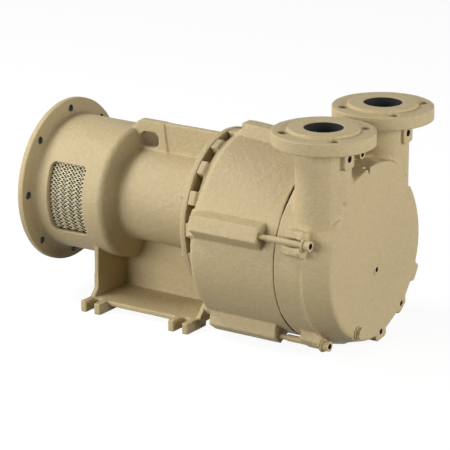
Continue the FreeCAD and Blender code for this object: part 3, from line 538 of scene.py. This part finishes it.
class PUMP_OT_castings(Operator):
    """Makes the bracket, the casing and the head as soft-edged painted castings"""
    bl_idname = "pump.castings"
    bl_label = "Castings"

    def execute(self, context):
        casting = context.scene.pump_casting
        for nodes in (("bracket",), ("casing",), ("head", "suction_neck", "discharge_neck")):
            piece = casting_skin(nodes, nodes[0] + "_casting", casting)
            if nodes[0] == "head":
                blend_necks(piece.data, casting)
                face_necks(piece.data)
            if nodes[0] == "casing":
                raise_top(piece.data)
            wavy(piece.data, MOULD_RISE)
            thinned(piece, casting.triangles)
            smooth_shaded(piece.data)
            piece.data.materials.clear()
            piece.data.materials.append(MATERIALS["body_paint"])
            # Painted shade inside the bores, holes and the lantern
            paint_hole_shade(piece.data)
            finished(piece, MATERIALS["body_paint"], STATIC, "body_paint", *nodes)
        return {"FINISHED"}


def thinned(piece, triangles):
    """Takes triangles out where the skin is flat, down to the given count."""
    piece.data.calc_loop_triangles()
    count = len(piece.data.loop_triangles)
    if count > triangles:
        fewer = piece.modifiers.new("fewer", "DECIMATE")
        fewer.ratio = triangles / count
        baked(piece)


def blend_necks(mesh, casting):
    """Rounds out the corners where the necks meet the drum of the head."""
    points = read_points(mesh)
    side = np.where(points[:, 1] < 0, -PORT_Y, PORT_Y)
    to_neck = np.hypot(points[:, 0] - PORT_X, points[:, 1] - side) - NECK_R
    to_drum = np.hypot(points[:, 1], points[:, 2] - CASING_Z) - HEAD_R
    far = np.maximum(np.abs(to_neck), np.abs(to_drum))
    weight = np.clip(1.4 - far / BLEND_REACH, 0.0, 1.0)
    softened(mesh, weight, casting.blend_rounds)


def ramp(values, start, run):
    """Nought up to the start, then a straight rise to one over the given run."""
    return np.clip((values - start) / run, 0.0, 1.0)


def eased(values, start, run):
    """A ramp with a soft start and end."""
    share = ramp(values, start, run)
    return share * share * (3.0 - 2.0 * share)


def in_rib(turn, angle):
    """True where an angle round the casing lies in the sector of the tie-bolt rib at the given angle."""
    return np.abs((turn - angle + 180.0) % 360.0 - 180.0) < RIB_HALF_ANGLE


def raise_top(mesh):
    """Lifts the casing's top over the disc, and starts the tie-bolt ribs a little in front of the disc."""
    points = read_points(mesh)
    up = points[:, 2] - CASING_Z
    away = np.hypot(points[:, 1], up) - CASING_R
    turn = np.degrees(np.arctan2(-points[:, 1], up))
    station = points[:, 0].copy()
    # The top rib rises a little less at its crest than the casing does at its root
    crest = in_rib(turn, 0.0) * ramp(away, CREST_START, CREST_RUN)
    rise = eased(station, CASING_REAR, RISE_SHOULDER)
    rise *= TOP_RISE - crest * (TOP_RISE - TOP_RIB_RISE)
    for angle in TIE_ANGLES:
        root = TOP_RIB_ROOT if angle == 0.0 else RIB_ROOT
        rib = in_rib(turn, angle) & (away > root) & (station > RIB_START - RIB_MARGIN)
        points[:, 0] += rib * (1.0 - ramp(station, RIB_START, RIB_STRETCH)) * RIB_SETBACK
        if angle == 0.0:
            end = TOP_RIB_RISE * ramp(away, RIB_END_START, RIB_END_RUN)
            rise = np.where(rib, np.maximum(rise, end), rise)
    share = 1.0 - eased(np.abs(turn), RISE_FULL_ANGLE, RISE_END_ANGLE - RISE_FULL_ANGLE)
    share *= 1.0 - ramp(station, CASING_REAR + RISE_SHOULDER, RISE_FADE) ** RISE_FADE_POWER
    # The bore inside the casing stays as it is
    share *= ramp(away, -RISE_SKIN, RISE_SKIN_EASE)
    points[:, 2] += share * rise
    write_points(mesh, points)


def face_necks(mesh):
    """Flattens a strip down the front of each neck, from a soft ridge round to the front face's plane."""
    points = read_points(mesh)
    height = points[:, 2]
    ends = eased(height, STRIP_BOTTOM, STRIP_BOTTOM_EASE)
    ends *= 1.0 - eased(height, STRIP_TOP - STRIP_TOP_EASE, STRIP_TOP_EASE)
    for side in (-1.0, 1.0):
        along = points[:, 0] - PORT_X
        out = side * points[:, 1] - PORT_Y
        turn = np.arctan2(along, out) - STRIP_MIDDLE
        on = (np.abs(turn) < STRIP_HALF) & (np.abs(np.hypot(along, out) - NECK_R) < NECK_MARGIN)
        sink = on * ends * NECK_R * (np.cos(turn) - math.cos(STRIP_HALF))
        points[:, 0] -= sink * math.sin(STRIP_MIDDLE)
        points[:, 1] -= side * sink * math.cos(STRIP_MIDDLE)
    write_points(mesh, points)


def round_axis(station, height, radius, angle):
    """A point beside a level axis along X: its angle runs in degrees from the top towards -Y."""
    turn = math.radians(angle)
    return Vector((station, -radius * math.sin(turn), height + radius * math.cos(turn)))


def drilled_holes():
    """The holes and ducts that are painted dark for their shade: each one's kind, its middle and its axis."""
    motor_middle = FLANGE_FACE + 6 * MM
    duct_middle = PORT_TOP - 56 * MM
    rim_middle = HEAD_FRONT - 12 * MM
    tapped_middle = HEAD_FRONT - 4 * MM
    socket_middle = TIE_BOLT_END - 3.5 * MM
    holes = [("tapped", Vector((tapped_middle, 0, TAPPED_HOLE_Z)), ALONG)]
    for k in range(8):
        holes.append(("motor", round_axis(motor_middle, SHAFT_Z, MOTOR_HOLES_R, 45 * k), ALONG))
    for side in (-PORT_Y, PORT_Y):
        holes.append(("duct", Vector((PORT_X, side, duct_middle)), UPRIGHT))
        holes.append(("gauge", Vector((GAUGE_PAD_FACE, side, GAUGE_PAD_Z)), ALONG))
    for angle in RIM_HOLE_ANGLES:
        holes.append(("rim", round_axis(rim_middle, CASING_Z, RIM_HOLES_R, angle), ALONG))
    for angle in TIE_ANGLES:
        holes.append(("socket", round_axis(socket_middle, CASING_Z, TIE_HOLES_R, angle), ALONG))
    return holes


def paint_hole_shade(mesh):
    """Gives bored and drilled faces, and the lantern's inside, a painted shade of matt near black for the
    shade that falls inside them.
    """
    mesh.materials.append(MATERIALS["duct_black"])
    count = len(mesh.polygons)
    flat = np.empty(count * 3)
    mesh.polygons.foreach_get("center", flat)
    centres = flat.reshape(-1, 3)
    dark = np.zeros(count, dtype=bool)
    for kind, middle, axis in drilled_holes():
        radius, reach = HOLES[kind]
        offset = centres - np.array(middle)
        run = offset @ np.array(axis)
        away = np.linalg.norm(offset - run[:, None] * np.array(axis), axis=1)
        dark |= (np.abs(run) < reach) & (away < radius + HOLE_MARGIN)
    away = np.hypot(centres[:, 1], centres[:, 2] - SHAFT_Z)
    station = centres[:, 0] - FLANGE_FACE
    dark |= (away < LANTERN_R) & (station > LANTERN_START) & (station < LANTERN_END)
    mesh.polygons.foreach_set("material_index", dark.astype(np.int32))


# Guard screens of expanded metal

def guard_tree(material):
    """Diamond openings in staggered rows, leant out of the sheet and wrapped round the lantern."""
    tree = bpy.data.node_groups.new("expanded_metal", "GeometryNodeTree")
    tree.interface.new_socket("Geometry", in_out="OUTPUT", socket_type="NodeSocketGeometry")
    names = (
        "Start", "Length", "Arc", "Radius", "Side angle", "Axis height", "Cell length", "Cell height",
        "Strand", "Sheet", "Corner", "Tilt")
    for name in names:
        tree.interface.new_socket(name, in_out="INPUT", socket_type="NodeSocketFloat")
    given = tree.nodes.new("NodeGroupInput").outputs
    along = add(tree, "ShaderNodeMath", {0: given["Length"], 1: given["Cell length"]}, operation="DIVIDE")
    around = add(tree, "ShaderNodeMath", {0: given["Arc"], 1: given["Cell height"]}, operation="DIVIDE")
    rows = []
    for shift in (0.0, 0.5):
        grid = add(tree, "GeometryNodeMeshGrid", {
            "Size X": given["Length"], "Size Y": given["Arc"], "Vertices X": along.outputs[0],
            "Vertices Y": around.outputs[0]})
        step_x = add(tree, "ShaderNodeMath", {0: given["Cell length"], 1: shift}, operation="MULTIPLY")
        step_y = add(tree, "ShaderNodeMath", {0: given["Cell height"], 1: shift}, operation="MULTIPLY")
        offset = add(tree, "ShaderNodeCombineXYZ", {"X": step_x.outputs[0], "Y": step_y.outputs[0]})
        moved = add(tree, "GeometryNodeSetPosition", {
            "Geometry": grid.outputs["Mesh"], "Offset": offset.outputs[0]})
        rows.append(moved.outputs[0])
    both = tree.nodes.new("GeometryNodeJoinGeometry")
    for row in rows:
        tree.links.new(row, both.inputs[0])
    half_height = add(tree, "ShaderNodeMath", {0: given["Cell height"], 1: 0.5}, operation="MULTIPLY")
    opening = add(tree, "GeometryNodeCurvePrimitiveQuadrilateral", {
        "Width": given["Cell length"], "Bottom Height": half_height.outputs[0],
        "Top Height": half_height.outputs[0]}, mode="KITE")
    rounded = add(tree, "GeometryNodeFilletCurve", {
        "Curve": opening.outputs[0], "Radius": given["Corner"], "Count": 1}, mode="POLY")
    section = add(tree, "GeometryNodeCurvePrimitiveQuadrilateral", {
        "Width": given["Strand"], "Height": given["Sheet"]}, mode="RECTANGLE")
    ring = add(tree, "GeometryNodeCurveToMesh", {
        "Curve": rounded.outputs[0], "Profile Curve": section.outputs[0]})
    lean = add(tree, "ShaderNodeCombineXYZ", {"X": given["Tilt"]})
    placed = add(tree, "GeometryNodeInstanceOnPoints", {
        "Points": both.outputs[0], "Instance": ring.outputs[0], "Rotation": lean.outputs[0]})
    plain = add(tree, "GeometryNodeRealizeInstances", {"Geometry": placed.outputs[0]})
    here = add(tree, "ShaderNodeSeparateXYZ", {"Vector": add(tree, "GeometryNodeInputPosition").outputs[0]})
    turn = add(tree, "ShaderNodeMath", {0: here.outputs["Y"], 1: given["Radius"]}, operation="DIVIDE")
    angle = add(tree, "ShaderNodeMath", {0: turn.outputs[0], 1: given["Side angle"]}, operation="ADD")
    reach = add(tree, "ShaderNodeMath", {0: given["Radius"], 1: here.outputs["Z"]}, operation="ADD")
    sine = add(tree, "ShaderNodeMath", {0: angle.outputs[0]}, operation="SINE")
    cosine = add(tree, "ShaderNodeMath", {0: angle.outputs[0]}, operation="COSINE")
    across = add(tree, "ShaderNodeMath", {0: reach.outputs[0], 1: sine.outputs[0]}, operation="MULTIPLY")
    up = add(tree, "ShaderNodeMath", {
        0: reach.outputs[0], 1: cosine.outputs[0], 2: given["Axis height"]}, operation="MULTIPLY_ADD")
    middle = add(tree, "ShaderNodeMath", {
        0: given["Length"], 1: 0.5, 2: given["Start"]}, operation="MULTIPLY_ADD")
    station = add(tree, "ShaderNodeMath", {0: here.outputs["X"], 1: middle.outputs[0]}, operation="ADD")
    wrapped = add(tree, "ShaderNodeCombineXYZ", {
        "X": station.outputs[0], "Y": across.outputs[0], "Z": up.outputs[0]})
    bent = add(tree, "GeometryNodeSetPosition", {
        "Geometry": plain.outputs[0], "Position": wrapped.outputs[0]})
    coated = add(tree, "GeometryNodeSetMaterial", {"Geometry": bent.outputs[0], "Material": material})
    add(tree, "NodeGroupOutput", {"Geometry": coated.outputs[0]})
    return tree


def grown(name, tree, values):
    """An object that a node tree makes from the given inputs, as a plain mesh."""
    piece = add_object(name, bpy.data.meshes.new(name))
    modifier = piece.modifiers.new("grown", "NODES")
    modifier.node_group = tree
    for item in tree.interface.items_tree:
        if item.in_out == "INPUT" and item.name in values:
            modifier[item.identifier] = values[item.name]
    return baked(piece)


class PUMP_OT_guards(Operator):
    """Makes the expanded metal screens inside the lantern's two windows"""
    bl_idname = "pump.guards"
    bl_label = "Guard screens"

    def execute(self, context):
        guard = context.scene.pump_guard
        tree = guard_tree(MATERIALS["guard_mesh"])
        for node, side in (("guard_screen_near", -1.0), ("guard_screen_far", 1.0)):
            low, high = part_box(node)
            radius = max(abs(low.y), abs(high.y)) + SCREEN_GAP
            half_angle = math.asin(WINDOW_HEIGHT / 2 / radius)
            piece = grown(node + "_mesh", tree, {
                "Start": FLANGE_FACE + WINDOW_START + guard.cell_length / 4,
                "Length": WINDOW_LENGTH - guard.cell_length,
                "Arc": 2 * half_angle * radius - guard.cell_height, "Radius": radius,
                "Side angle": side * math.pi / 2, "Axis height": SHAFT_Z, "Cell length": guard.cell_length,
                "Cell height": guard.cell_height, "Strand": guard.strand, "Sheet": guard.sheet,
                "Corner": guard.corner, "Tilt": -side * guard.tilt})
            finished(piece, MATERIALS["guard_mesh"], STATIC, "guard_mesh")
        return {"FINISHED"}


# Finishes of the carried-over nodes

class PUMP_OT_finishes(Operator):
    """Gives every node that keeps its shape the material of its slot, then paints shade into the tie bolts'
    sockets and onto the screen sheets
    """
    bl_idname = "pump.finishes"
    bl_label = "Finishes"

    def execute(self, context):
        for row in frame["record"]["subparts"]:
            thing = frame["nodes"][row["node"]]
            thing.data.materials.clear()
            thing.data.materials.append(MATERIALS[row["material_slot"]])
        # Painted shade in the tie bolts' sockets
        paint_hole_shade(frame["nodes"]["tie_bolts"].data)
        # Painted shade: the screen sheets behind the expanded steel turn near black
        for node in ("guard_screen_near", "guard_screen_far"):
            frame["nodes"][node].data.materials[0] = MATERIALS["guard_backing"]
        return {"FINISHED"}


# Studio

FLOOR_SIDE = 18.0
FLOOR_GLOW = 1.08
FLOOR_GLOW_SHARE = 0.85
LAMP_DISTANCE = 3.3

# Each lamp's azimuth and elevation in degrees, and its width and height in metres
LAMPS = {
    "key": (-66, 50, 1.3, 1.3),
    "front": (-28, 14, 2.4, 1.3),
    "side": (86, 15, 2.0, 1.3),
}

# What the camera and the lamps aim at
AIM = Vector((40.0, 107.3, 127.6)) * MM


def seen_directly(tree):
    """One for a ray from the camera, in a mirror or through glass, nought for one that lights the pump."""
    ray = add(tree, "ShaderNodeLightPath").outputs
    mirrored = add(tree, "ShaderNodeMath", {
        0: ray["Is Camera Ray"], 1: ray["Is Glossy Ray"]}, operation="MAXIMUM")
    through = add(tree, "ShaderNodeMath", {
        0: mirrored.outputs[0], 1: ray["Is Transmission Ray"]}, operation="MAXIMUM")
    return through.outputs[0]


def add_floor():
    """A white floor that keeps a soft shadow and looks as white as the background."""
    half = FLOOR_SIDE / 2
    corners = [(-half, -half, 0), (half, -half, 0), (half, half, 0), (-half, half, 0)]
    mesh = bpy.data.meshes.new("floor")
    mesh.from_pydata(corners, [], [(0, 1, 2, 3)])
    floor = add_object("floor", mesh)
    material, tree, _ = new_material("white_paper_floor")
    seen = seen_directly(tree)
    # The sheet is white to look at, and throws less light back at the pump, as one further away would
    sheet = add(tree, "ShaderNodeMix", {
        "Factor": seen, "A": rgba("6e6e6c"), "B": rgba("e6e6e4")}, data_type="RGBA")
    paper = add(tree, "ShaderNodeBsdfDiffuse", {"Color": sheet.outputs["Result"]})
    glow = add(tree, "ShaderNodeEmission", {"Color": rgba("ffffff"), "Strength": FLOOR_GLOW})
    share = add(tree, "ShaderNodeMath", {0: seen, 1: FLOOR_GLOW_SHARE}, operation="MULTIPLY")
    mixed = add(tree, "ShaderNodeMixShader", {0: share.outputs[0], 1: paper.outputs[0], 2: glow.outputs[0]})
    add(tree, "ShaderNodeOutputMaterial", {"Surface": mixed.outputs[0]})
    mesh.materials.append(material)


def add_room(strength):
    """Even light from all round, with a white background behind the floor."""
    world = bpy.data.worlds.new("room")
    world.use_nodes = True
    tree = world.node_tree
    tree.nodes.clear()
    level = add(tree, "ShaderNodeMapRange", {"Value": seen_directly(tree), "To Min": strength, "To Max": 1.0})
    light = add(tree, "ShaderNodeBackground", {"Color": rgba("ffffff"), "Strength": level.outputs[0]})
    add(tree, "ShaderNodeOutputWorld", {"Surface": light.outputs[0]})
    bpy.context.scene.world = world


def direction(azimuth, elevation):
    """From the pump towards a light or camera: azimuth from -Y towards +X, in radians."""
    flat = math.cos(elevation)
    return Vector((math.sin(azimuth) * flat, -math.cos(azimuth) * flat, math.sin(elevation)))


def add_lamp(name, azimuth, elevation, width, height, power):
    """A soft rectangular lamp that faces the pump: azimuth from -Y towards +X, in degrees."""
    lamp = bpy.data.lights.new(name, "AREA")
    lamp.shape = "RECTANGLE"
    lamp.size = width
    lamp.size_y = height
    lamp.energy = power
    holder = bpy.data.objects.new(name, lamp)
    way = direction(math.radians(azimuth), math.radians(elevation))
    holder.location = AIM + way * LAMP_DISTANCE
    holder.rotation_euler = way.to_track_quat("Z", "Y").to_euler()
    bpy.context.scene.collection.objects.link(holder)


class PUMP_OT_studio(Operator):
    """Makes the floor, the lights and the camera at the photograph's angle"""
    bl_idname = "pump.studio"
    bl_label = "Studio"

    def execute(self, context):
        studio = context.scene.pump_studio
        add_floor()
        add_room(studio.room)
        powers = {"key": studio.key_power, "front": studio.front_power, "side": studio.side_power}
        for name, power in powers.items():
            add_lamp(name, *LAMPS[name], power)
        lens = bpy.data.cameras.new("camera")
        lens.lens = studio.lens
        lens.sensor_width = 36.0
        lens.sensor_fit = "HORIZONTAL"
        lens.clip_end = 60.0
        camera = bpy.data.objects.new("camera", lens)
        way = direction(studio.azimuth, studio.elevation)
        camera.location = AIM + way * studio.distance
        camera.rotation_euler = way.to_track_quat("Z", "Y").to_euler()
        context.scene.collection.objects.link(camera)
        context.scene.camera = camera
        context.scene.view_settings.view_transform = "Standard"
        return {"FINISHED"}


class PUMP_OT_materials(Operator):
    """Makes the materials of every finish"""
    bl_idname = "pump.materials"
    bl_label = "Materials"

    def execute(self, context):
        make_materials(context.scene.pump_finish)
        return {"FINISHED"}


class PUMP_PT_panel(Panel):
    """Lists the pump's sizes, colours and steps"""
    bl_idname = "PUMP_PT_panel"
    bl_label = "Liquid ring pump"
    bl_space_type = "VIEW_3D"
    bl_region_type = "UI"
    bl_category = "Pump"

    def draw(self, context):
        for group, _ in GROUPS:
            box = self.layout.box()
            held = getattr(context.scene, group)
            for name in held.__annotations__:
                box.prop(held, name)
        for step in STEPS:
            self.layout.operator(step.bl_idname)


GROUPS = (
    ("pump_finish", PumpFinish), ("pump_casting", PumpCasting), ("pump_guard", PumpGuard),
    ("pump_studio", PumpStudio),
)
STEPS = (PUMP_OT_materials, PUMP_OT_finishes, PUMP_OT_castings, PUMP_OT_guards, PUMP_OT_studio)


def register():
    for name, group in GROUPS:
        bpy.utils.register_class(group)
        setattr(bpy.types.Scene, name, PointerProperty(type=group))
    for step in STEPS:
        bpy.utils.register_class(step)
    bpy.utils.register_class(PUMP_PT_panel)


def unregister():
    bpy.utils.unregister_class(PUMP_PT_panel)
    for step in reversed(STEPS):
        bpy.utils.unregister_class(step)
    for name, group in reversed(GROUPS):
        delattr(bpy.types.Scene, name)
        bpy.utils.unregister_class(group)


def main():
    register()
    bpy.ops.pump.materials()
    bpy.ops.pump.finishes()
    bpy.ops.pump.castings()
    bpy.ops.pump.guards()
    bpy.ops.pump.studio()


if __name__ == "__main__":
    main()
